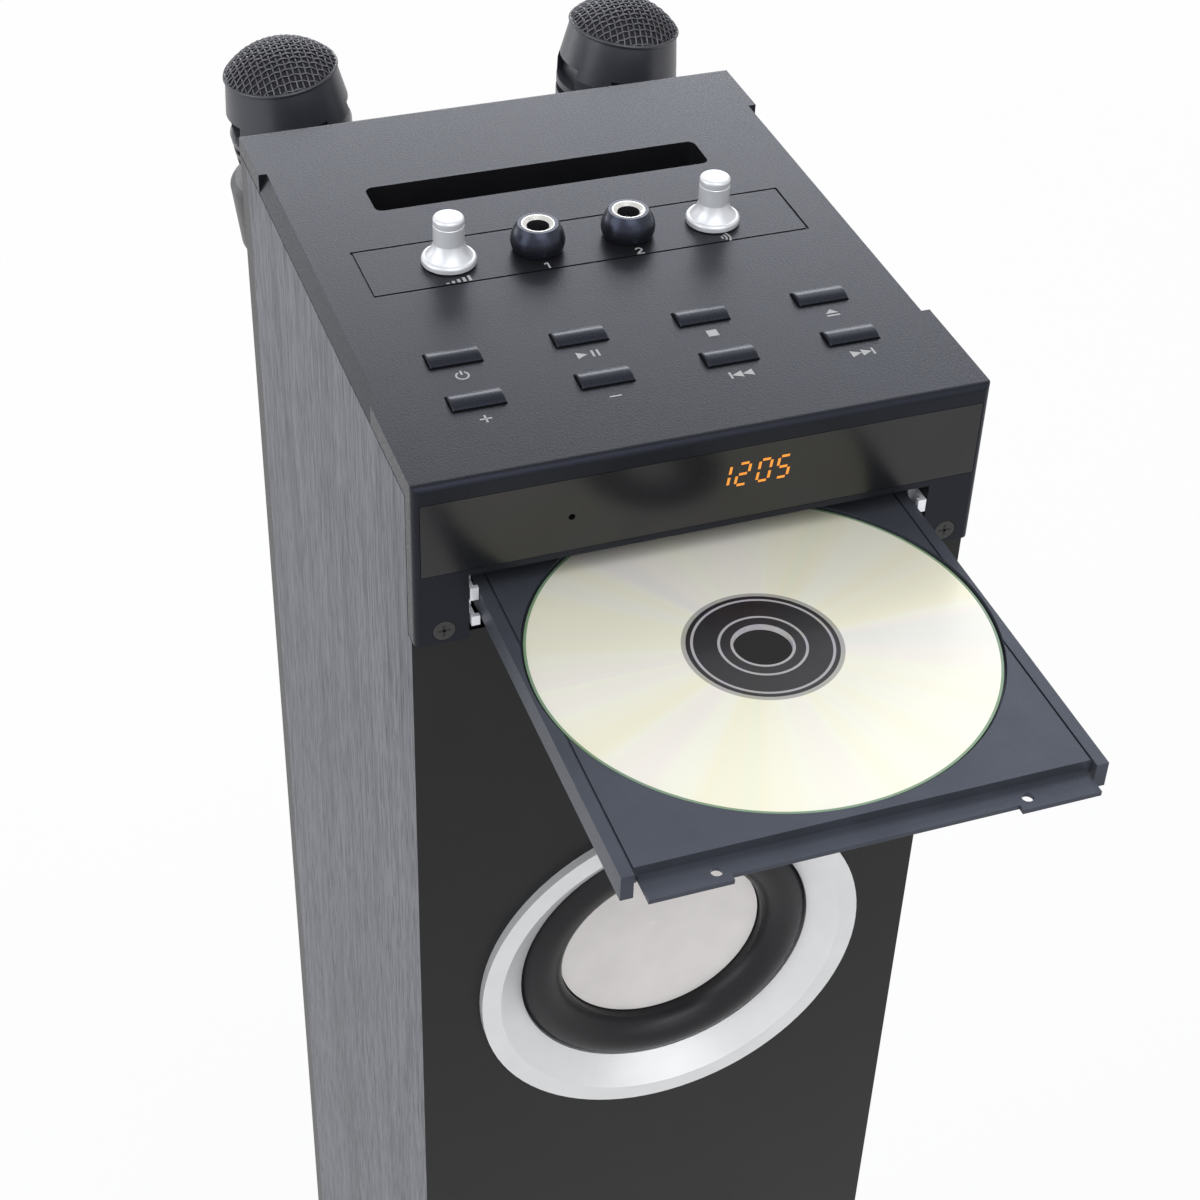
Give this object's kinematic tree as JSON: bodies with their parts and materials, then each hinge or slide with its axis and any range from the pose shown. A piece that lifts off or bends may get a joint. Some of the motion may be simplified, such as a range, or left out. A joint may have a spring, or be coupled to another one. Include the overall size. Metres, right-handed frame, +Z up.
{
  "type": "tower speaker with cd player",
  "caption": "Tall slim tower speaker with a top control console, front-loading disc tray, front drivers in bright trim rings and microphones in rear holders.",
  "frame": {"origin": "on the floor, under the middle of the whole object's box with the tray open", "axes": "+Z up, -Y out of the front where the tray opens, +X to the right seen from the front"},
  "size_m": [0.182, 0.3583, 0.8645],
  "materials": {
    "wood_grain": "satin foil wood grain",
    "baffle_black": "satin black lacquer",
    "board_black": "black foil on fibreboard",
    "foot_rubber": "matt",
    "screw_steel": "blackened",
    "console_plastic": "fine texture",
    "smoked_window": "gloss smoked",
    "display_board": "satin",
    "button_plastic": "satin",
    "knob_chrome": "polished",
    "shaft_steel": "turned",
    "pot_metal": "plated",
    "jack_black": "satin",
    "loader_plastic": "moulded",
    "bracket_steel": "zinc plated",
    "tray_plastic": "fine texture",
    "disc_face": "polycarbonate with silver layer",
    "gear_plastic": "moulded",
    "motor_steel": "plated",
    "turntable_plastic": "moulded",
    "trim_silver": "satin plated",
    "basket_steel": "black",
    "magnet_ferrite": "sintered",
    "surround_rubber": "satin",
    "spider_cloth": "woven",
    "cone_silver": "metallic satin",
    "inlet_black": "moulded",
    "core_steel": "laminated",
    "mic_plastic": "satin",
    "mic_mesh": "black woven wire",
    "toggle_plastic": "satin",
    "holder_plastic": "satin"
  },
  "bodies": {
    "cabinet": {"left_side_panel": "wood_grain", "right_side_panel": "wood_grain", "front_baffle": "baffle_black", "rear_panel": "board_black", "bottom_board": "board_black", "plinth": "board_black", "rubber_feet": "foot_rubber", "case_screws": "screw_steel", "console_cap": "console_plastic", "display_window": "smoked_window", "display_module": "display_board", "control_board": "display_board", "amplifier_board": "display_board", "guide_rods": "shaft_steel", "potentiometers": "pot_metal", "jack_collars": "jack_black", "jack_sockets": "jack_black", "loader_chassis": "loader_plastic", "loader_brackets": "bracket_steel", "traverse_plate": "bracket_steel", "clamp_bridge": "bracket_steel", "loading_motor": "motor_steel", "spindle_motor": "motor_steel", "trim_rings": "trim_silver", "driver_baskets": "basket_steel", "driver_magnets": "magnet_ferrite", "cone_surrounds": "surround_rubber", "cone_spiders": "spider_cloth", "power_inlet": "inlet_black", "bass_port": "inlet_black", "transformer": "core_steel", "mic_holders": "holder_plastic"},
    "tray": {"disc_tray": "tray_plastic", "tray_rack": "tray_plastic"},
    "disc": {"compact_disc": "disc_face"},
    "drive_gear": {"drive_gear": "gear_plastic"},
    "motor_pinion": {"motor_pinion": "gear_plastic"},
    "turntable": {"turntable": "turntable_plastic"},
    "clamp_puck": {"clamp_puck": "turntable_plastic"},
    "pickup_sled": {"pickup_sled": "turntable_plastic"},
    "left_knob": {"left_knob": "knob_chrome", "left_knob_shaft": "shaft_steel"},
    "right_knob": {"right_knob": "knob_chrome", "right_knob_shaft": "shaft_steel"},
    "upper_cone": {"upper_cone": "cone_silver"},
    "lower_cone": {"lower_cone": "cone_silver"},
    "left_microphone": {"left_mic_body": "mic_plastic", "left_mic_grille": "mic_mesh"},
    "right_microphone": {"right_mic_body": "mic_plastic", "right_mic_grille": "mic_mesh"},
    "left_mic_switch": {"left_mic_switch": "toggle_plastic"},
    "right_mic_switch": {"right_mic_switch": "toggle_plastic"},
    "power_button": {"power_button": "button_plastic"},
    "play_button": {"play_button": "button_plastic"},
    "stop_button": {"stop_button": "button_plastic"},
    "eject_button": {"eject_button": "button_plastic"},
    "volume_up_button": {"volume_up_button": "button_plastic"},
    "volume_down_button": {"volume_down_button": "button_plastic"},
    "previous_button": {"previous_button": "button_plastic"},
    "next_button": {"next_button": "button_plastic"}
  },
  "joints": [
    {"name": "tray_slide", "type": "slide", "parent": "cabinet", "child": "tray", "axis": [0, 1, 0], "range_m": [0, 0.114]},
    {"name": "disc_spin", "type": "hinge", "parent": "tray", "child": "disc", "pos_m": [0, -0.10795, 0.812], "axis": [0, 0, 1], "continuous": true},
    {"name": "drive_gear_spin", "type": "hinge", "parent": "cabinet", "child": "drive_gear", "pos_m": [-0.032, -0.02295, 0.806], "axis": [0, 0, 1], "range_deg": [-570, 20]},
    {"name": "motor_pinion_spin", "type": "hinge", "parent": "cabinet", "child": "motor_pinion", "pos_m": [-0.012, -0.02295, 0.806], "axis": [0, 0, 1], "range_deg": [-20, 850]},
    {"name": "turntable_spin", "type": "hinge", "parent": "cabinet", "child": "turntable", "pos_m": [0, 0.00605, 0.8], "axis": [0, 0, 1], "continuous": true},
    {"name": "clamp_puck_spin", "type": "hinge", "parent": "cabinet", "child": "clamp_puck", "pos_m": [0, 0.00605, 0.817], "axis": [0, 0, 1], "continuous": true},
    {"name": "pickup_slide", "type": "slide", "parent": "cabinet", "child": "pickup_sled", "axis": [0, 1, 0], "range_m": [0, 0.024]},
    {"name": "left_knob_turn", "type": "hinge", "parent": "cabinet", "child": "left_knob", "pos_m": [-0.0395, 0.03185, 0.85], "axis": [0, 0, 1], "range_deg": [-150, 150]},
    {"name": "right_knob_turn", "type": "hinge", "parent": "cabinet", "child": "right_knob", "pos_m": [0.0395, 0.03185, 0.85], "axis": [0, 0, 1], "range_deg": [-150, 150]},
    {"name": "upper_cone_stroke", "type": "slide", "parent": "cabinet", "child": "upper_cone", "axis": [0, -1, 0], "range_m": [-0.002, 0.002], "stiffness_N_per_m": 900},
    {"name": "lower_cone_stroke", "type": "slide", "parent": "cabinet", "child": "lower_cone", "axis": [0, -1, 0], "range_m": [-0.002, 0.002], "stiffness_N_per_m": 900},
    {"name": "left_mic_lift", "type": "slide", "parent": "cabinet", "child": "left_microphone", "axis": [-0.1219, 0, 0.9925], "range_m": [0, 0.2]},
    {"name": "right_mic_lift", "type": "slide", "parent": "cabinet", "child": "right_microphone", "axis": [0.1219, 0, 0.9925], "range_m": [0, 0.2]},
    {"name": "left_mic_switch_slide", "type": "slide", "parent": "left_microphone", "child": "left_mic_switch", "axis": [-0.1219, 0, 0.9925], "range_m": [0, 0.004]},
    {"name": "right_mic_switch_slide", "type": "slide", "parent": "right_microphone", "child": "right_mic_switch", "axis": [0.1219, 0, 0.9925], "range_m": [0, 0.004]},
    {"name": "power_button_press", "type": "slide", "parent": "cabinet", "child": "power_button", "axis": [0, 0, -1], "range_m": [0, 0.001], "stiffness_N_per_m": 600, "springref_m": -0.0005},
    {"name": "play_button_press", "type": "slide", "parent": "cabinet", "child": "play_button", "axis": [0, 0, -1], "range_m": [0, 0.001], "stiffness_N_per_m": 600, "springref_m": -0.0005},
    {"name": "stop_button_press", "type": "slide", "parent": "cabinet", "child": "stop_button", "axis": [0, 0, -1], "range_m": [0, 0.001], "stiffness_N_per_m": 600, "springref_m": -0.0005},
    {"name": "eject_button_press", "type": "slide", "parent": "cabinet", "child": "eject_button", "axis": [0, 0, -1], "range_m": [0, 0.001], "stiffness_N_per_m": 600, "springref_m": -0.0005},
    {"name": "volume_up_button_press", "type": "slide", "parent": "cabinet", "child": "volume_up_button", "axis": [0, 0, -1], "range_m": [0, 0.001], "stiffness_N_per_m": 600, "springref_m": -0.0005},
    {"name": "volume_down_button_press", "type": "slide", "parent": "cabinet", "child": "volume_down_button", "axis": [0, 0, -1], "range_m": [0, 0.001], "stiffness_N_per_m": 600, "springref_m": -0.0005},
    {"name": "previous_button_press", "type": "slide", "parent": "cabinet", "child": "previous_button", "axis": [0, 0, -1], "range_m": [0, 0.001], "stiffness_N_per_m": 600, "springref_m": -0.0005},
    {"name": "next_button_press", "type": "slide", "parent": "cabinet", "child": "next_button", "axis": [0, 0, -1], "range_m": [0, 0.001], "stiffness_N_per_m": 600, "springref_m": -0.0005}
  ],
  "couplings": [
    {"joint": "drive_gear_spin", "follows": "tray_slide", "rad_per_m": -83.333},
    {"joint": "motor_pinion_spin", "follows": "tray_slide", "rad_per_m": 125}
  ]
}
